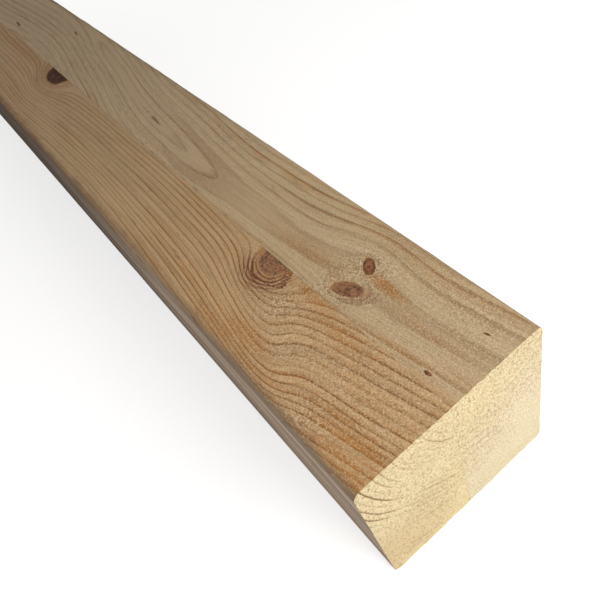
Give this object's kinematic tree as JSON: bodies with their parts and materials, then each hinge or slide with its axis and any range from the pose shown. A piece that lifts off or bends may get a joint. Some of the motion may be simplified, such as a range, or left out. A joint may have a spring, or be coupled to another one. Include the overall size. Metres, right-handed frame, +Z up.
{
  "type": "glued planed softwood bar",
  "caption": "Straight square softwood bar, planed and glued side by side from lamellas, with eased long edges and sawn ends.",
  "frame": {"origin": "centre of the bottom face, where the bar lies on the floor", "axes": "+X along the length towards the cut end that the picture shows, +Y to the right looking at that end, +Z up"},
  "size_m": [2, 0.05, 0.05],
  "materials": {
    "knotty_pine": "planed and unfinished, darker growth rings and brown knots",
    "pale_pine": "planed and unfinished, pale with fine growth rings and small red-brown knots"
  },
  "bodies": {
    "root": {"left_lamella": "knotty_pine", "right_lamella": "pale_pine"}
  },
  "joints": []
}
